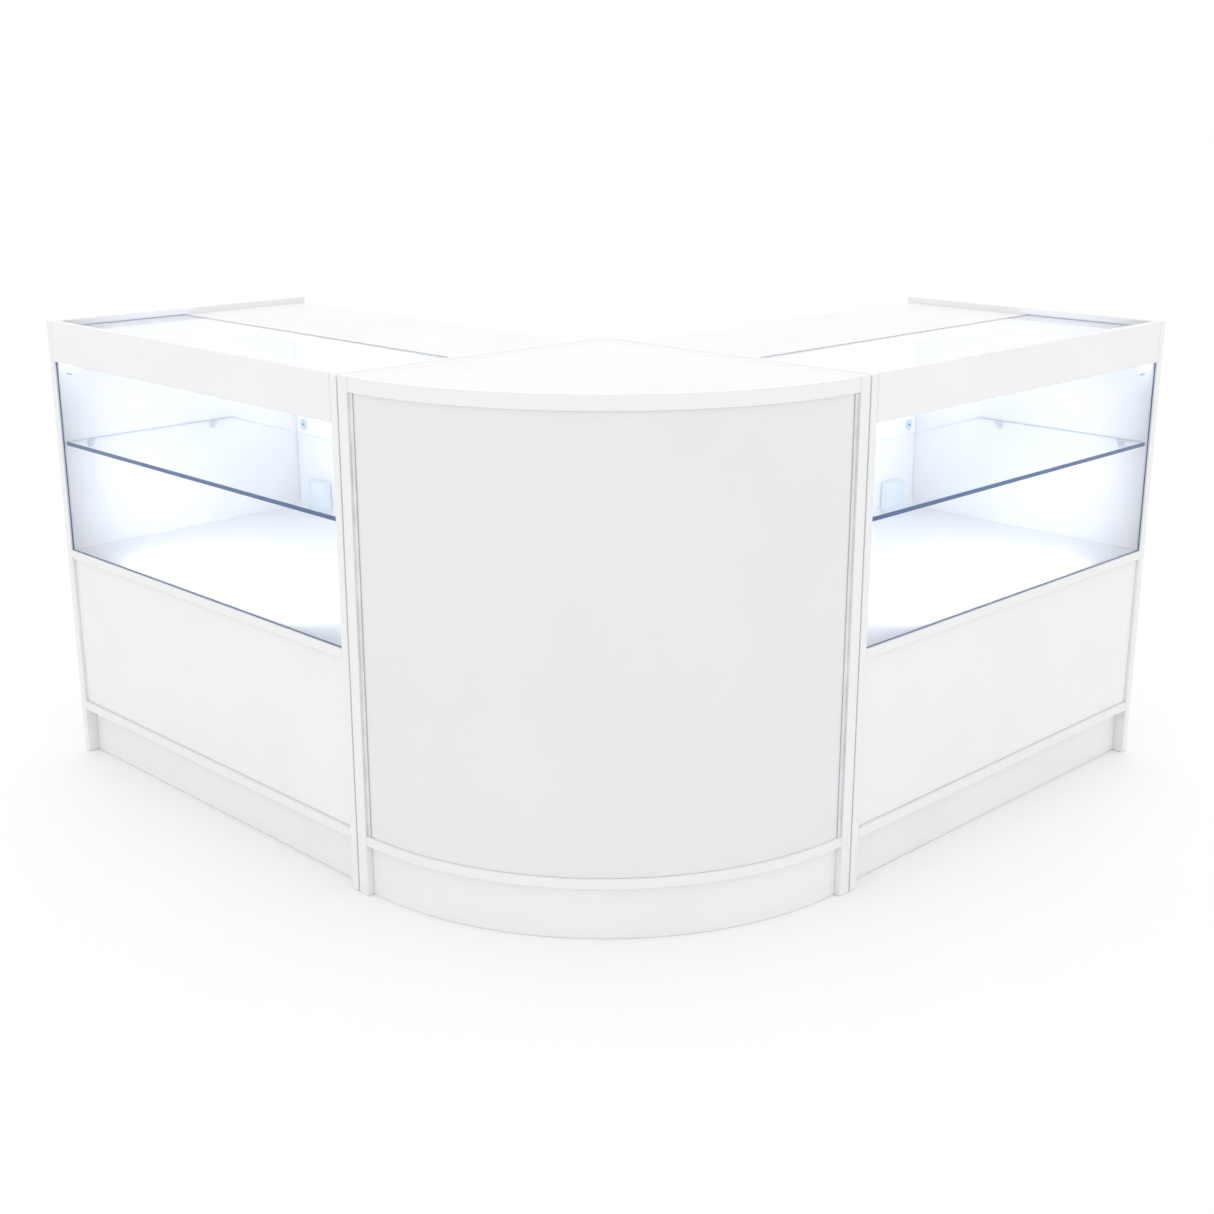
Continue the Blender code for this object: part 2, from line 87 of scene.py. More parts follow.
# Fittings, in metres. Profiles are (radius, along) pairs
PANE_ARRIS = 0.0005
TOP_ARRIS = 0.0014
CAM_INSET = 0.034
CAM_CAP = ((0.0, 0.0), (0.0086, 0.0), (0.0086, 0.0005), (0.0078, 0.0011), (0.0030, 0.0013), (0.0, 0.0013))
CAM_ROWS = (
    ("deck", -1, (0.10, 0.50)),
    ("base_board", 1, (0.10, 0.50)),
    ("worktop", -1, (0.36, 0.52)),
)
LOCK_BORE = ((0.0, -0.002), (0.0061, -0.002), (0.0061, 0.017), (0.0, 0.017))
LOCK_COLLAR = (
    (0.0061, 0.0),
    (0.0084, 0.0),
    (0.0084, 0.0005),
    (0.0078, 0.0010),
    (0.0066, 0.0010),
    (0.0061, 0.0005),
    (0.0061, 0.0),
)

# Lights of the studio: name, place, size, watts
WORLD_STRENGTH = 1.10
FLOOR_REACH = 60.0
LAMPS = (
    ("overhead", (-0.6, -0.6, 3.4), (3.5, 3.5), 6.0),
    ("customer_side", (-4.0, -2.6, 2.4), (2.5, 2.5), 2.0),
)

# Light inside each showcase: name, middle as (s, t, z), way it shines, size, watts
SHOWCASE_COLOUR = (0.935, 0.955, 1.0)
SHOWCASE_LAMPS = (
    ("upper", (0.475, 0.0125, 0.738), (0.0, 1.0, 0.0), (0.56, 0.135), 1.5),
    ("lower", (0.475, 0.0125, 0.546), (0.0, 1.0, 0.0), (0.56, 0.185), 1.9),
    ("top", (0.475, 0.165, 0.8790), (0.0, 0.0, -1.0), (0.60, 0.26), 0.3),
)


def between(low, high):
    return (Vector(low) + Vector(high)) / 2


# Materials


class Surface:
    """A procedural material built round one Principled shader. Textures read the object's own metres."""

    def __init__(self, name, colour, roughness, metallic=0.0):
        self.material = bpy.data.materials.new(name)
        self.material.use_nodes = True
        self.tree = self.material.node_tree
        self.shader = self.tree.nodes["Principled BSDF"]
        self.shader.inputs["Base Color"].default_value = (*colour, 1.0)
        self.shader.inputs["Roughness"].default_value = roughness
        self.shader.inputs["Metallic"].default_value = metallic
        self.place = self.add("ShaderNodeTexCoord").outputs["Object"]

    def add(self, kind, **settings):
        node = self.tree.nodes.new(kind)
        for key, value in settings.items():
            setattr(node, key, value)
        return node

    def feed(self, value, socket):
        """Links an output into the socket, or sets a plain number there."""
        if isinstance(value, bpy.types.NodeSocket):
            self.tree.links.new(value, socket)
        else:
            socket.default_value = value

    def stretched(self, scale):
        """The object's metres, scaled by a different amount on each axis."""
        node = self.add("ShaderNodeMapping")
        node.inputs["Scale"].default_value = scale
        self.feed(self.place, node.inputs["Vector"])
        return node.outputs["Vector"]

    def noise(self, scale, detail=2.0, rough=0.5, vector=None):
        node = self.add("ShaderNodeTexNoise")
        node.inputs["Scale"].default_value = scale
        node.inputs["Detail"].default_value = detail
        node.inputs["Roughness"].default_value = rough
        self.feed(vector or self.place, node.inputs["Vector"])
        return node.outputs["Fac"]

    def cells(self, scale):
        node = self.add("ShaderNodeTexVoronoi", feature="SMOOTH_F1")
        node.inputs["Scale"].default_value = scale
        self.feed(self.place, node.inputs["Vector"])
        return node.outputs["Distance"]

    def spread(self, value, low, high, out_low, out_high):
        """Maps low..high to out_low..out_high, held at both ends."""
        node = self.add("ShaderNodeMapRange", clamp=True)
        self.feed(value, node.inputs["Value"])
        node.inputs["From Min"].default_value = low
        node.inputs["From Max"].default_value = high
        node.inputs["To Min"].default_value = out_low
        node.inputs["To Max"].default_value = out_high
        return node.outputs["Result"]

    def sum(self, operation, a, b):
        node = self.add("ShaderNodeMath", operation=operation)
        self.feed(a, node.inputs[0])
        self.feed(b, node.inputs[1])
        return node.outputs["Value"]

    def mixed(self, share, first, second):
        """A colour that goes from first to second as share goes from 0 to 1."""
        node = self.add("ShaderNodeMix", data_type="RGBA")
        self.feed(share, node.inputs["Factor"])
        for colour, socket in ((first, node.inputs["A"]), (second, node.inputs["B"])):
            rgb = [i for i in node.inputs if i.name == socket.name and i.type == "RGBA"][0]
            self.feed(colour if isinstance(colour, bpy.types.NodeSocket) else (*colour, 1.0), rgb)
        return [o for o in node.outputs if o.type == "RGBA"][0]

    def along(self, source, axis):
        node = self.add("ShaderNodeSeparateXYZ")
        self.feed(source, node.inputs["Vector"])
        return node.outputs["XYZ".index(axis.upper())]

    def facing(self, axis):
        """1 where the surface faces along the axis, 0 across it. "round" is any level direction."""
        normal = self.add("ShaderNodeNewGeometry").outputs["True Normal"]
        if axis != "round":
            return self.sum("ABSOLUTE", self.along(normal, axis), 0.0)
        upward = self.sum("ABSOLUTE", self.along(normal, "z"), 0.0)
        return self.sum("SUBTRACT", 1.0, upward)

    def colour(self, value):
        self.feed(value, self.shader.inputs["Base Color"])

    def roughness(self, value):
        self.feed(value, self.shader.inputs["Roughness"])

    def bump(self, height, strength, distance):
        node = self.add("ShaderNodeBump")
        node.inputs["Strength"].default_value = strength
        node.inputs["Distance"].default_value = distance
        self.feed(height, node.inputs["Height"])
        self.feed(node.outputs["Normal"], self.shader.inputs["Normal"])


def melamine(axis):
    """White melamine-faced board whose broad faces look along the axis, with ABS banding on its edges and
    painted shade along its arrises.
    """
    made = Surface(f"white_board_{axis}", MELAMINE, 0.38)
    facing = made.facing(axis)
    on_face = made.spread(facing, 0.90, 0.97, 0.0, 1.0)
    on_edge = made.spread(facing, 0.05, 0.12, 1.0, 0.0)
    cloud = made.noise(5.0, 3.0)
    faces = made.mixed(made.spread(cloud, 0.35, 0.65, 0.0, 1.0), MELAMINE, MELAMINE_DEEP)
    # Painted shade: where the surface turns from a broad face towards an edge, it takes the darker arris
    # colour
    colour = made.mixed(on_face, ARRIS_PAINTED_SHADE, faces)
    colour = made.mixed(on_edge, colour, BAND)
    low = made.spread(made.along(made.place, "z"), 0.002, 0.060, 1.0, 0.0)
    streaks = made.noise(1.0, 4.0, 0.7, made.stretched((14.0, 14.0, 60.0)))
    scuffs = made.sum("MULTIPLY", low, made.spread(streaks, 0.56, 0.72, 0.0, 0.16))
    made.colour(made.mixed(scuffs, colour, SCUFF))
    made.roughness(made.spread(made.noise(22.0, 4.0, 0.6), 0.30, 0.70, 0.30, 0.46))
    grain = made.sum("ADD", made.noise(1400.0, 2.0), made.sum("MULTIPLY", made.cells(520.0), 0.6))
    made.bump(made.sum("MULTIPLY", grain, on_face), 0.10, 0.00012)
    return made.material


def laminate():
    """The bent board's pale textured laminate."""
    made = Surface("grey_laminate", LAMINATE, 0.42)
    cloud = made.noise(3.5, 4.0, 0.55)
    made.colour(made.mixed(made.spread(cloud, 0.35, 0.65, 0.0, 1.0), LAMINATE, LAMINATE_DEEP))
    made.roughness(made.spread(made.noise(30.0, 3.0), 0.3, 0.7, 0.36, 0.50))
    hide = made.cells(330.0)
    fine = made.noise(1100.0, 2.0)
    made.bump(made.sum("ADD", hide, made.sum("MULTIPLY", fine, 0.4)), 0.22, 0.00025)
    return made.material


def lets_lamps_through(made):
    """Glass that lamps shine through: shadow rays pass, every other ray meets the glass."""
    path = made.add("ShaderNodeLightPath")
    clear = made.add("ShaderNodeBsdfTransparent")
    clear.inputs["Color"].default_value = (*GLASS_TINT, 1.0)
    mix = made.add("ShaderNodeMixShader")
    made.feed(path.outputs["Is Shadow Ray"], mix.inputs[0])
    made.feed(made.shader.outputs["BSDF"], mix.inputs[1])
    made.feed(clear.outputs["BSDF"], mix.inputs[2])
    output = made.tree.nodes["Material Output"]
    made.feed(mix.outputs["Shader"], output.inputs["Surface"])


def glass():
    """Clear toughened float glass with faint wiping marks."""
    made = Surface("clear_glass", GLASS_TINT, 0.0)
    made.shader.inputs["Transmission Weight"].default_value = 1.0
    made.shader.inputs["IOR"].default_value = 1.5
    wipes = made.noise(1.0, 4.0, 0.6, made.stretched((9.0, 9.0, 22.0)))
    made.roughness(made.spread(wipes, 0.50, 0.80, 0.0, 0.035))
    lets_lamps_through(made)
    return made.material


def glass_edge(name, colour, deep):
    """The ground edge of a pane, where the glass shows its own blue depth."""
    made = Surface(name, colour, 0.25)
    depth = made.noise(60.0, 3.0)
    made.colour(made.mixed(made.spread(depth, 0.3, 0.7, 0.0, 1.0), colour, deep))
    made.roughness(made.spread(made.noise(900.0, 2.0), 0.3, 0.7, 0.18, 0.34))
    made.shader.inputs["Specular IOR Level"].default_value = 0.05
    made.bump(made.noise(1800.0, 1.0), 0.15, 0.0001)
    return made.material


def frosted_mark():
    """The sand-blasted patch in the corner of a toughened pane."""
    made = Surface("clear_glass_mark", (0.38, 0.47, 0.60), 0.6)
    made.roughness(made.spread(made.noise(700.0), 0.3, 0.7, 0.5, 0.7))
    made.bump(made.noise(2600.0, 1.0), 0.3, 0.0001)
    return made.material


def metal(name, colour, roughness, grain_axis):
    """Satin metal, brushed along one axis."""
    made = Surface(name, colour, roughness, 1.0)
    scale = [900.0, 900.0, 900.0]
    scale[AXES.index(grain_axis)] = 12.0
    lines = made.noise(1.0, 3.0, 0.6, made.stretched(scale))
    tone = made.noise(25.0, 3.0)
    darker = tuple(0.86 * c for c in colour)
    made.colour(made.mixed(made.spread(tone, 0.3, 0.7, 0.0, 1.0), colour, darker))
    made.roughness(made.spread(lines, 0.3, 0.7, roughness - 0.07, roughness + 0.10))
    made.bump(lines, 0.12, 0.00008)
    return made.material


def plastic(name, colour, roughness):
    """Moulded or extruded plastic with a faint grain."""
    made = Surface(name, colour, roughness)
    darker = tuple(0.95 * c for c in colour)
    made.colour(made.mixed(made.spread(made.noise(40.0, 3.0), 0.3, 0.7, 0.0, 1.0), colour, darker))
    made.roughness(made.spread(made.noise(160.0, 3.0), 0.3, 0.7, roughness - 0.08, roughness + 0.10))
    made.bump(made.noise(1600.0, 2.0), 0.08, 0.0001)
    return made.material


def clear_plastic():
    made = Surface("clear_plastic", CLEAR_PLASTIC, 0.2)
    made.shader.inputs["Transmission Weight"].default_value = 0.45
    made.shader.inputs["IOR"].default_value = 1.49
    made.roughness(made.spread(made.noise(300.0, 2.0), 0.3, 0.7, 0.14, 0.30))
    made.colour(made.mixed(made.noise(80.0), CLEAR_PLASTIC, (0.36, 0.56, 0.70)))
    return made.material


# Near-black painted shade for the cut faces of the screws' cross recesses and the lock's key slot
def painted_shade_recess():
    made = Surface("nickel_recess_painted_shade", (0.05, 0.05, 0.055), 0.5, 0.6)
    made.roughness(made.spread(made.noise(500.0), 0.3, 0.7, 0.4, 0.6))
    return made.material


def diffuser():
    """The opal strip over the light diodes, a little brighter over each of them."""
    made = Surface("diffuser_light", (0.9, 0.92, 0.95), 0.45)
    dots = made.add("ShaderNodeTexWave", wave_type="BANDS", bands_direction="DIAGONAL")
    dots.inputs["Scale"].default_value = 18.0
    made.feed(made.place, dots.inputs["Vector"])
    made.shader.inputs["Emission Color"].default_value = (*LIGHT, 1.0)
    made.feed(made.spread(dots.outputs["Fac"], 0.0, 1.0, 9.0, 12.0), made.shader.inputs["Emission Strength"])
    made.roughness(made.spread(made.noise(400.0), 0.3, 0.7, 0.4, 0.5))
    return made.material


MATERIALS = {}


def make_materials():
    MATERIALS["white_board_round"] = melamine("round")
    for axis in AXES:
        MATERIALS["white_board_" + axis] = melamine(axis)
        MATERIALS["aluminium_" + axis] = metal("aluminium_" + axis, ALUMINIUM, 0.30, axis)
    MATERIALS["nickel"] = metal("nickel", NICKEL, 0.24, "z")
    MATERIALS["grey_laminate"] = laminate()
    MATERIALS["clear_glass"] = glass()
    MATERIALS["glass_edge"] = glass_edge("clear_glass_edge", GLASS_EDGE, GLASS_EDGE_DEEP)
    # A paler copy of the edge colour: painted light on the shelf's back and end edges
    MATERIALS["glass_side_painted_light"] = glass_edge("clear_glass_side_painted_light", GLASS_SIDE_PAINTED_LIGHT, GLASS_SIDE_PAINTED_LIGHT_DEEP)
    MATERIALS["frosted_mark"] = frosted_mark()
    MATERIALS["white_plastic"] = plastic("white_plastic", PLASTIC, 0.40)
    MATERIALS["driver_plastic"] = plastic("driver_plastic", DRIVER_PLASTIC, 0.40)
    MATERIALS["pull_face_painted_light"] = plastic("nickel_pull_face_painted_light", PULL_FACE_PAINTED_LIGHT, 0.30)
    MATERIALS["pull_screw_painted_shade"] = plastic("nickel_pull_screw_painted_shade", PULL_SCREW_PAINTED_SHADE, 0.45)
    MATERIALS["clear_plastic"] = clear_plastic()
    MATERIALS["recess"] = painted_shade_recess()
    MATERIALS["diffuser"] = diffuser()


# Meshes


def finish_piece(name, shape, surfaces, body, stands_for=(), sharp=35.0):
    """Turns a bmesh in the row frame into a piece that rides on a body."""
    mesh = bpy.data.meshes.new(name)
    shape.to_mesh(mesh)
    shape.free()
    for surface in surfaces:
        mesh.materials.append(MATERIALS[surface])
    mesh.shade_smooth()
    mesh.set_sharp_from_angle(angle=math.radians(sharp))
    obj = bpy.data.objects.new(name, mesh)
    bpy.context.scene.collection.objects.link(obj)
    flat = obj.modifiers.new("flat_faces", "WEIGHTED_NORMAL")
    flat.keep_sharp = True
    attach(obj, body)
    if stands_for:
        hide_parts(*stands_for)
    return obj


def slab(shape, low, high, rounding, segments=3):
    """Adds a rounded block between two corners, and returns its faces."""
    low, high = Vector(low), Vector(high)
    before = set(shape.faces)
    made = bmesh.ops.create_cube(shape, size=1.0)
    bmesh.ops.scale(shape, vec=high - low, verts=made["verts"])
    bmesh.ops.translate(shape, vec=between(low, high), verts=made["verts"])
    edges = {e for v in made["verts"] for e in v.link_edges}
    bmesh.ops.bevel(shape, geom=list(edges), offset=rounding, segments=segments, profile=0.5, affect="EDGES")
    return [f for f in shape.faces if f not in before]


def spun(shape, profile, centre, axis, steps=72):
    """Adds a profile of (radius, along) pairs turned round the axis through centre, and returns its faces."""
    before = set(shape.faces)
    along = Vector(axis).normalized()
    out = along.orthogonal().normalized()
    across = along.cross(out)
    centre = Vector(centre)
    rings = []
    for radius, depth in profile:
        middle = centre + along * depth
        if radius < 1e-7:
            rings.append([shape.verts.new(middle)])
            continue
        ring = []
        for i in range(steps):
            angle = 2 * math.pi * i / steps
            ring.append(shape.verts.new(middle + radius * (math.cos(angle) * out + math.sin(angle) * across)))
        rings.append(ring)
    for a, b in zip(rings, rings[1:]):
        for i in range(steps):
            j = (i + 1) % steps
            corners = [a[i % len(a)], a[j % len(a)], b[j % len(b)], b[i % len(b)]]
            corners = [c for k, c in enumerate(corners) if c not in corners[:k]]
            shape.faces.new(corners)
    made = [f for f in shape.faces if f not in before]
    bmesh.ops.recalc_face_normals(shape, faces=made)
    return made


def swept(shape, outline, place, stations):
    """Adds a closed outline of (a, b) pairs, put at each station by place(a, b, station), with shut ends."""
    before = set(shape.faces)
    rings = [[shape.verts.new(place(a, b, c)) for a, b in outline] for c in stations]
    shape.faces.new(rings[0])
    shape.faces.new(reversed(rings[-1]))
    for first, last in zip(rings, rings[1:]):
        for i in range(len(outline)):
            j = (i + 1) % len(outline)
            shape.faces.new((first[i], first[j], last[j], last[i]))
    made = [f for f in shape.faces if f not in before]
    bmesh.ops.recalc_face_normals(shape, faces=made)
    return made


def rounded_outline(points, radius, steps=4):
    """A closed outline with each corner turned into a small arc."""
    out = []
    count = len(points)
    for i in range(count):
        here = Vector(points[i])
        before = Vector(points[i - 1]) - here
        after = Vector(points[(i + 1) % count]) - here
        reach = min(radius, 0.45 * before.length, 0.45 * after.length)
        start = here + before.normalized() * reach
        end = here + after.normalized() * reach
        for k in range(steps + 1):
            f = k / steps
            point = (1 - f) ** 2 * start + 2 * f * (1 - f) * here + f**2 * end
            out.append(tuple(point))
    return out


# The CAD boards


def thin_axis(node):
    low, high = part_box(node)
    size = high - low
    return AXES[min(range(3), key=lambda i: size[i])]


def soften(obj, width):
    """Rounds the edges of a CAD node with modifiers, its own mesh stays as packed."""
    weld = obj.modifiers.new("weld", "WELD")
    weld.merge_threshold = 0.00001
    bevel = obj.modifiers.new("edges", "BEVEL")
    bevel.width = width
    bevel.segments = 2
    bevel.limit_method = "ANGLE"
    bevel.angle_limit = math.radians(25)
    bevel.harden_normals = True


def dress(node, material, width=0.0003):
    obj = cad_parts[node]
    for place in obj.material_slots:
        place.material = MATERIALS[material]
    soften(obj, width)


def dress_boards():
    boards = ["corner_end_panel_left", "corner_end_panel_right"]
    parts = (
        "end_panel_inner end_panel_outer fascia worktop deck base_board lower_front_panel plinth"
        " sliding_door_outer sliding_door_inner"
    )
    boards += [f"{side}_{part}" for side in SIDES for part in parts.split()]
    for board in boards:
        dress(board, "white_board_" + thin_axis(board))
    for side in SIDES:
        for part in ("door_track_bottom", "door_track_top"):
            dress(f"{side}_{part}", "white_plastic", 0.00025)
        for end in ("inner", "outer"):
            for depth in ("front", "back"):
                dress(f"{side}_shelf_support_{end}_{depth}", "clear_plastic", 0.0003)


# The showcase counters


class Counter:
    """The detailed pieces of one showcase counter, placed by (s, t, z)."""

    def __init__(self, side):
        self.side = side
        low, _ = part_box(f"{side}_end_panel_inner")
        self.near, self.front = (low.x, low.y) if side == "right" else (low.y, low.x)

    def at(self, s, t, z):
        along, back = self.near + s, self.front + t
        return Vector((along, back, z) if self.side == "right" else (back, along, z))

    def way(self, s, t, z):
        """A direction given along the counter, towards the staff and up."""
        return Vector((s, t, z) if self.side == "right" else (t, s, z))

    def box(self, part):
        """Lowest and highest (s, t, z) of one of this counter's CAD nodes."""
        corners = []
        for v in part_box(f"{self.side}_{part}"):
            along, back = (v.x, v.y) if self.side == "right" else (v.y, v.x)
            corners.append(Vector((along - self.near, back - self.front, v.z)))
        return corners

    def piece(self, name, shape, surfaces, body="counter_set", stands_for=(), sharp=35.0):
        nodes = [f"{self.side}_{part}" for part in stands_for]
        return finish_piece(f"{self.side}_{name}", shape, surfaces, body, nodes, sharp)

    def slab(self, shape, low, high, rounding, segments=3):
        return slab(shape, self.at(*low), self.at(*high), rounding, segments)

    def build(self):
        self.pane("front_pane", "front_glass", "t")
        self.pane("top_pane", "top_glass", "z")
        self.pane("shelf_pane", "glass_shelf", "z")
        self.pane_mark()
        self.light()
        self.showcase_lamps()
        self.driver()
        self.cam_caps()
        self.pull("outer", -0.0010)
        self.pull("inner", 0.0004)
        self.lock()

    def pane(self, name, part, thin):
        """Toughened glass with arrissed and ground edges."""
        low, high = self.box(part)
        shape = bmesh.new()
        self.slab(shape, low, high, TOP_ARRIS if part == "top_glass" else PANE_ARRIS, 2)
        bmesh.ops.recalc_face_normals(shape, faces=shape.faces)
        broad = self.way(0, 1, 0) if thin == "t" else self.way(0, 0, 1)
        shelf = part == "glass_shelf"
        for face in shape.faces:
            if abs(face.normal.dot(broad)) > 0.98:
                face.material_index = 0
            # The shelf's back and end edges take the paler, painted-light copy of the edge blue
            elif shelf and face.normal.dot(self.way(0, -1, 0)) < 0.5:
                face.material_index = 2
            else:
                face.material_index = 1
        surfaces = ("clear_glass", "glass_edge", "glass_side_painted_light")
        self.piece(name, shape, surfaces, stands_for=(part,), sharp=10.0)

    def pane_mark(self):
        """The small blank sand-blasted patch in the front pane's upper outer corner."""
        low, _ = self.box("front_glass")
        mark_low = (0.872, low.y - 0.00012, 0.8010)
        mark_high = (0.892, low.y - 0.00004, 0.8040)
        shape = bmesh.new()
        self.slab(shape, mark_low, mark_high, 0.00003, 1)
        self.piece("front_pane_mark", shape, ("frosted_mark",))

    def light(self):
        """The light channel with its opal diffuser and end caps."""
        run = "x" if self.side == "right" else "y"
        dress(f"{self.side}_led_channel", "aluminium_" + run, 0.0002)
        low, high = self.box("led_channel")
        wall = 0.0017
        t0, t1 = low.y + wall, high.y - wall
        dome = []
        for i in range(13):
            f = i / 12
            dome.append((t0 + (t1 - t0) * f, low.z + 0.0004 - 0.0012 * math.sin(math.pi * f)))
        outline = dome + [(t1, low.z + 0.0024), (t0, low.z + 0.0024)]
        shape = bmesh.new()
        stations = [low.x + 0.0006, high.x - 0.0006]
        swept(shape, outline, lambda t, z, s: self.at(s, t, z), stations)
        self.piece("light_diffuser", shape, ("diffuser",))
        caps = bmesh.new()
        for s0, s1 in ((low.x - 0.0034, low.x - 0.0002), (high.x + 0.0002, high.x + 0.0034)):
            self.slab(caps, (s0, low.y, low.z - 0.0004), (s1, high.y, high.z), 0.0008)
        self.piece("light_end_caps", caps, ("white_plastic",))

    def showcase_lamps(self):
        """The even cool light in the showcase. The lamps themselves don't show."""
        for name, middle, way, size, power in SHOWCASE_LAMPS:
            place, aim = self.at(*middle), self.way(*way)
            lamp = area_lamp(f"{self.side}_{name}_fill", place, aim, size, power, SHOWCASE_COLOUR)
            if way[2]:
                lamp.rotation_euler = (0.0, 0.0, 0.0 if self.side == "right" else math.pi / 2)
            lamp.visible_camera = False
            lamp.visible_glossy = False
            lamp.visible_transmission = False

    def driver(self):
        """The light's driver: a two-part moulded case with a seam and two screws."""
        low, high = self.box("led_driver")
        seam = low.y + 0.008
        case = bmesh.new()
        self.slab(case, low, (high.x, seam - 0.0003, high.z), 0.0028, 4)
        core_low = (low.x + 0.0006, seam - 0.002, low.z + 0.0006)
        core_high = (high.x - 0.0006, seam + 0.002, high.z - 0.0006)
        self.slab(case, core_low, core_high, 0.001)
        self.slab(case, (low.x, seam + 0.0003, low.z), high, 0.0028, 4)
        surfaces = ("driver_plastic",)
        self.piece("light_driver_case", case, surfaces, stands_for=("led_driver",))
        for label, ds, dz in (("low", 0.007, 0.007), ("high", 0.055, 0.059)):
            place = self.at(low.x + ds, low.y + 0.0004, low.z + dz)
            self.screw(f"light_driver_screw_{label}", place, self.way(0, -1, 0), 0.0022, "counter_set")

    def screw(self, name, place, way, radius, body, surface="nickel"):
        """A pan-head screw with a cross recess, its head standing off the surface at place."""
        height = 0.45 * radius
        profile = [(0.0, 0.0), (radius, 0.0), (radius, 0.25 * height)]
        for i in range(1, 7):
            angle = 0.5 * math.pi * i / 6
            out = radius * (0.55 + 0.45 * math.cos(angle))
            profile.append((out, height * (0.25 + 0.75 * math.sin(angle))))
        profile.append((0.0, height * 1.05))
        shape = bmesh.new()
        spun(shape, profile, place, way, 40)
        head = self.piece(name, shape, (surface,), body)
        cross = bmesh.new()
        side = way.cross(Vector((0, 0, 1))).normalized()
        middle = place + way * height * 0.75
        arm, half = 0.58 * radius, 0.13 * radius
        for long_way, wide_way in ((side, Vector((0, 0, 1))), (Vector((0, 0, 1)), side)):
            reach = long_way * arm + wide_way * half + way * height * 0.5
            reach = Vector(abs(c) for c in reach)
            slab(cross, middle - reach, middle + reach, 0.2 * half, 1)
            # The cut faces of the cross take the near-black painted shade
            carve(head, cross, "recess")
            cross = bmesh.new()
        cross.free()

    def cam_caps(self):
        """Push-in caps over the cam fittings that hold the boards to the end panels."""
        shape = bmesh.new()
        spots = []
        for part, up, depths in CAM_ROWS:
            low, high = self.box(part)
            level = high.z if up > 0 else low.z
            for s in (BOARD + CAM_INSET, COUNTER_WIDTH - BOARD - CAM_INSET):
                spots += [(s, t, level, up) for t in depths]
        for s, t, z, up in spots:
            spun(shape, CAM_CAP, self.at(s, t, z), (0, 0, up), 32)
        self.piece("cam_fitting_caps", shape, ("white_plastic",))

    def pull(self, which, inset):
        """A round cup in the door, open to the staff, closed to the display and held there by a screw."""
        body = f"{self.side}_{which}_door"
        low, high = self.box(f"finger_pull_{which}")
        s, z = (low.x + high.x) / 2, (low.z + high.z) / 2
        door_low, door_high = self.box(f"sliding_door_{which}")
        front, back = door_low.y + inset, door_high.y + 0.0003
        floor = front + 0.0031
        profile = (
            (0.0, front + 0.0006),
            (0.0098, front + 0.0006),
            (0.0104, front + 0.0003),
            (0.0109, front),
            (0.0116, front + 0.0002),
            (0.0120, front + 0.0008),
            (0.0120, back),
            (0.0149, back),
            (0.0150, back + 0.0003),
            (0.0147, back + 0.0008),
            (0.0140, back + 0.0010),
            (0.0116, back + 0.0010),
            (0.0108, back + 0.0006),
            (0.0105, back - 0.0004),
            (0.0105, floor + 0.0020),
            (0.0099, floor + 0.0006),
            (0.0085, floor),
            (0.0, floor),
        )
        shape = bmesh.new()
        spun(shape, profile, self.at(s, 0.0, z), self.way(0, 1, 0), 96)
        depth = self.way(0, 1, 0)
        display_side = self.at(0, door_low.y + 0.0008, 0).dot(depth)
        # The faces towards the display are painted in the blue of the showcase's cool light instead of nickel
        for face in shape.faces:
            if face.calc_center_median().dot(depth) < display_side:
                face.material_index = 1
        surfaces = ("nickel", "pull_face_painted_light")
        self.piece(f"finger_cup_{which}", shape, surfaces, body, (f"finger_pull_{which}",))
        # The screw is painted dark navy as shade instead of nickel
        screw_place = self.at(s, front + 0.0006, z)
        self.screw(f"finger_cup_screw_{which}", screw_place, self.way(0, -1, 0), 0.0027, body, "pull_screw_painted_shade")

    def lock(self):
        """A plunger lock: cast body with two fixing screws, and a plunger whose face takes the key."""
        door = f"{self.side}_inner_door"
        low, high = self.box("lock_body")
        plunger_low, plunger_high = self.box("lock_plunger")
        s, z = (low.x + high.x) / 2, (low.z + high.z) / 2
        shape = bmesh.new()
        self.slab(shape, low, high, 0.0030, 5)
        body = self.piece("lock_case", shape, ("nickel",), door, ("lock_body",))
        bore = bmesh.new()
        spun(bore, LOCK_BORE, self.at(s, low.y, z), self.way(0, 1, 0))
        carve(body, bore, "nickel")
        ring = bmesh.new()
        spun(ring, LOCK_COLLAR, self.at(s, high.y, z), self.way(0, 1, 0))
        bmesh.ops.remove_doubles(ring, verts=ring.verts, dist=1e-6)
        self.piece("lock_collar", ring, ("nickel",), door)
        for label, rise in (("low", -0.0145), ("high", 0.0145)):
            place = self.at(s, high.y - 0.0002, z + rise)
            self.screw(f"lock_screw_{label}", place, self.way(0, 1, 0), 0.0026, door)
        tip, head = plunger_low.y, plunger_high.y
        shoulder = low.y + 0.0083
        profile = (
            (0.0, tip),
            (0.0028, tip),
            (0.0036, tip + 0.0008),
            (0.0036, shoulder),
            (0.0057, shoulder),
            (0.0057, head - 0.0007),
            (0.0055, head - 0.0002),
            (0.0050, head),
            (0.0043, head),
            (0.0042, head - 0.0002),
            (0.0040, head - 0.0002),
            (0.0039, head),
            (0.0, head),
        )
        shape = bmesh.new()
        spun(shape, profile, self.at(s, 0.0, z), self.way(0, 1, 0))
        rides_on = f"{self.side}_lock_plunger"
        plunger = self.piece("lock_cylinder", shape, ("nickel",), rides_on, ("lock_plunger",))
        slot_shape = bmesh.new()
        keyway_low = (s - 0.0005, head - 0.0035, z - 0.0030)
        keyway_high = (s + 0.0005, head + 0.001, z + 0.0030)
        self.slab(slot_shape, keyway_low, keyway_high, 0.0002, 1)
        # The key slot's cut faces take the near-black painted shade
        carve(plunger, slot_shape, "recess")


# The corner unit


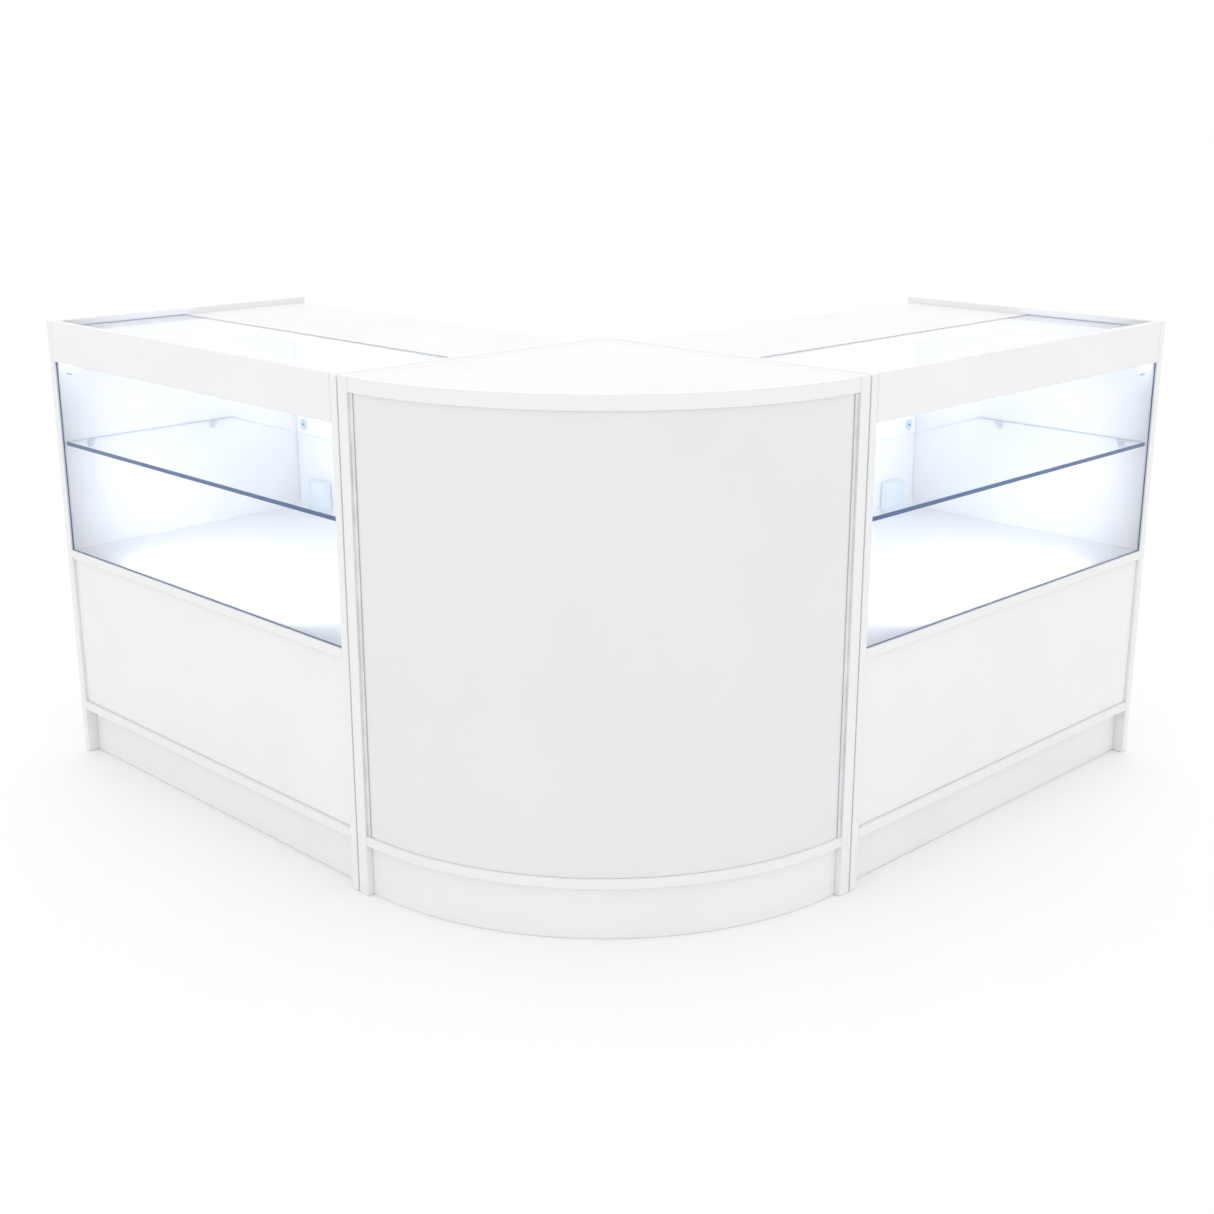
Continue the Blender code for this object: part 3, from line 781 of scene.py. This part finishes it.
class Corner:
    """The quarter-round unit: an angle of 0 points along -X from the arc's centre, 90 degrees along -Y."""

    def __init__(self):
        _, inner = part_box("corner_end_panel_left")
        self.centre = Vector((inner.x - CORNER_BOARD, inner.y - CORNER_BOARD, 0.0))

    def at(self, radius, angle, z):
        return self.centre + Vector((-radius * math.cos(angle), -radius * math.sin(angle), z))

    def bent(self, name, node, surface, thickness):
        """A board bent round the front of the unit, with eased edges."""
        low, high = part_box(node)
        outer = self.centre.x - low.x
        end = math.asin(0.0006 / (outer - thickness))
        section = [(outer - thickness, low.z), (outer, low.z), (outer, high.z), (outer - thickness, high.z)]
        steps = 160
        stations = [end + (math.pi / 2 - 2 * end) * i / steps for i in range(steps + 1)]
        shape = bmesh.new()
        swept(shape, rounded_outline(section, 0.0007), lambda r, z, a: self.at(r, a, z), stations)
        finish_piece(name, shape, (surface,), "counter_set", (node,))

    def board(self, name, node):
        """A flat board with the round front, its straight sides against the end panels."""
        low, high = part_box(node)
        outer = self.centre.x - low.x
        steps = 160
        end = math.asin(0.0006 / outer)
        outline = []
        for i in range(steps + 1):
            p = self.at(outer, end + (math.pi / 2 - 2 * end) * i / steps, 0.0)
            outline.append((p.x, p.y))
        outline.append((high.x, high.y))
        shape = bmesh.new()
        swept(shape, outline, lambda x, y, z: Vector((x, y, z)), (low.z, high.z))
        sharp = math.radians(60)
        rims = [e for e in shape.edges if len(e.link_faces) == 2 and e.calc_face_angle(0.0) > sharp]
        bmesh.ops.bevel(shape, geom=rims, offset=0.0010, segments=3, profile=0.5, affect="EDGES")
        finish_piece(name, shape, ("white_board_z",), "counter_set", (node,), 40.0)

    def build(self):
        self.bent("corner_curved_skin", "corner_curved_panel", "grey_laminate", 0.006)
        self.bent("corner_curved_plinth", "corner_plinth", "white_board_round", 0.009)
        self.board("corner_round_top", "corner_top")
        self.board("corner_round_base", "corner_base_board")
        for label in SIDES:
            dress(f"corner_trim_{label}", "aluminium_z", 0.00025)
        dress("corner_former", "white_board_z", 0.0003)


# Studio


def carve(obj, cutter_shape, surface):
    """Takes a closed shape out of a piece; the cut faces get the surface's material."""
    mesh = bpy.data.meshes.new("cutter")
    cutter_shape.to_mesh(mesh)
    cutter_shape.free()
    mesh.materials.append(MATERIALS[surface])
    cutter = bpy.data.objects.new("cutter", mesh)
    bpy.context.scene.collection.objects.link(cutter)
    modifier = obj.modifiers.new("carve", "BOOLEAN")
    modifier.operation = "DIFFERENCE"
    modifier.solver = "EXACT"
    modifier.object = cutter
    modifier.material_mode = "TRANSFER"
    evaluated = obj.evaluated_get(bpy.context.evaluated_depsgraph_get())
    carved = bpy.data.meshes.new_from_object(evaluated)
    obj.modifiers.remove(modifier)
    old, obj.data = obj.data, carved
    bpy.data.meshes.remove(old)
    bpy.data.objects.remove(cutter)
    carved.shade_smooth()
    carved.set_sharp_from_angle(angle=math.radians(35))


def studio():
    made = Surface("floor", (0.93, 0.93, 0.93), 0.6)
    made.colour(made.mixed(made.noise(1.5, 3.0), (0.93, 0.93, 0.93), (0.915, 0.915, 0.917)))
    made.roughness(made.spread(made.noise(6.0, 3.0), 0.3, 0.7, 0.55, 0.70))
    shape = bmesh.new()
    bmesh.ops.create_grid(shape, x_segments=2, y_segments=2, size=FLOOR_REACH)
    mesh = bpy.data.meshes.new("floor")
    shape.to_mesh(mesh)
    shape.free()
    mesh.materials.append(made.material)
    floor = bpy.data.objects.new("floor", mesh)
    floor.location = (0.0, 0.0, -0.0004)
    bpy.context.scene.collection.objects.link(floor)

    world = bpy.data.worlds.new("studio")
    world.use_nodes = True
    background = world.node_tree.nodes["Background"]
    background.inputs["Color"].default_value = (1.0, 1.0, 1.0, 1.0)
    background.inputs["Strength"].default_value = WORLD_STRENGTH
    bpy.context.scene.world = world
    for name, place, size, power in LAMPS:
        way = Vector((0.0, 0.0, 0.5)) - Vector(place)
        area_lamp(name, place, way, size, power, (1.0, 1.0, 1.0))


def area_lamp(name, place, way, size, power, colour):
    """A soft rectangular lamp that shines along way, its first size being the level one."""
    lamp = bpy.data.lights.new(name, "AREA")
    lamp.shape = "RECTANGLE"
    lamp.size, lamp.size_y = size
    lamp.energy = power
    lamp.color = colour
    obj = bpy.data.objects.new(name, lamp)
    obj.location = place
    obj.rotation_euler = Vector(way).to_track_quat("-Z", "Y").to_euler()
    bpy.context.scene.collection.objects.link(obj)
    return obj


def camera():
    data = bpy.data.cameras.new("camera")
    data.lens = LENS
    data.sensor_width = 36.0
    data.sensor_fit = "HORIZONTAL"
    obj = bpy.data.objects.new("camera", data)
    obj.location = CAMERA_PLACE
    obj.rotation_euler = (math.radians(CAMERA_TILT), 0.0, math.radians(CAMERA_TURN))
    bpy.context.scene.collection.objects.link(obj)
    bpy.context.scene.camera = obj
    bpy.context.scene.view_settings.view_transform = "Standard"


def main():
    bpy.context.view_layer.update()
    make_materials()
    dress_boards()
    for side in SIDES:
        Counter(side).build()
    Corner().build()
    studio()
    camera()


main()
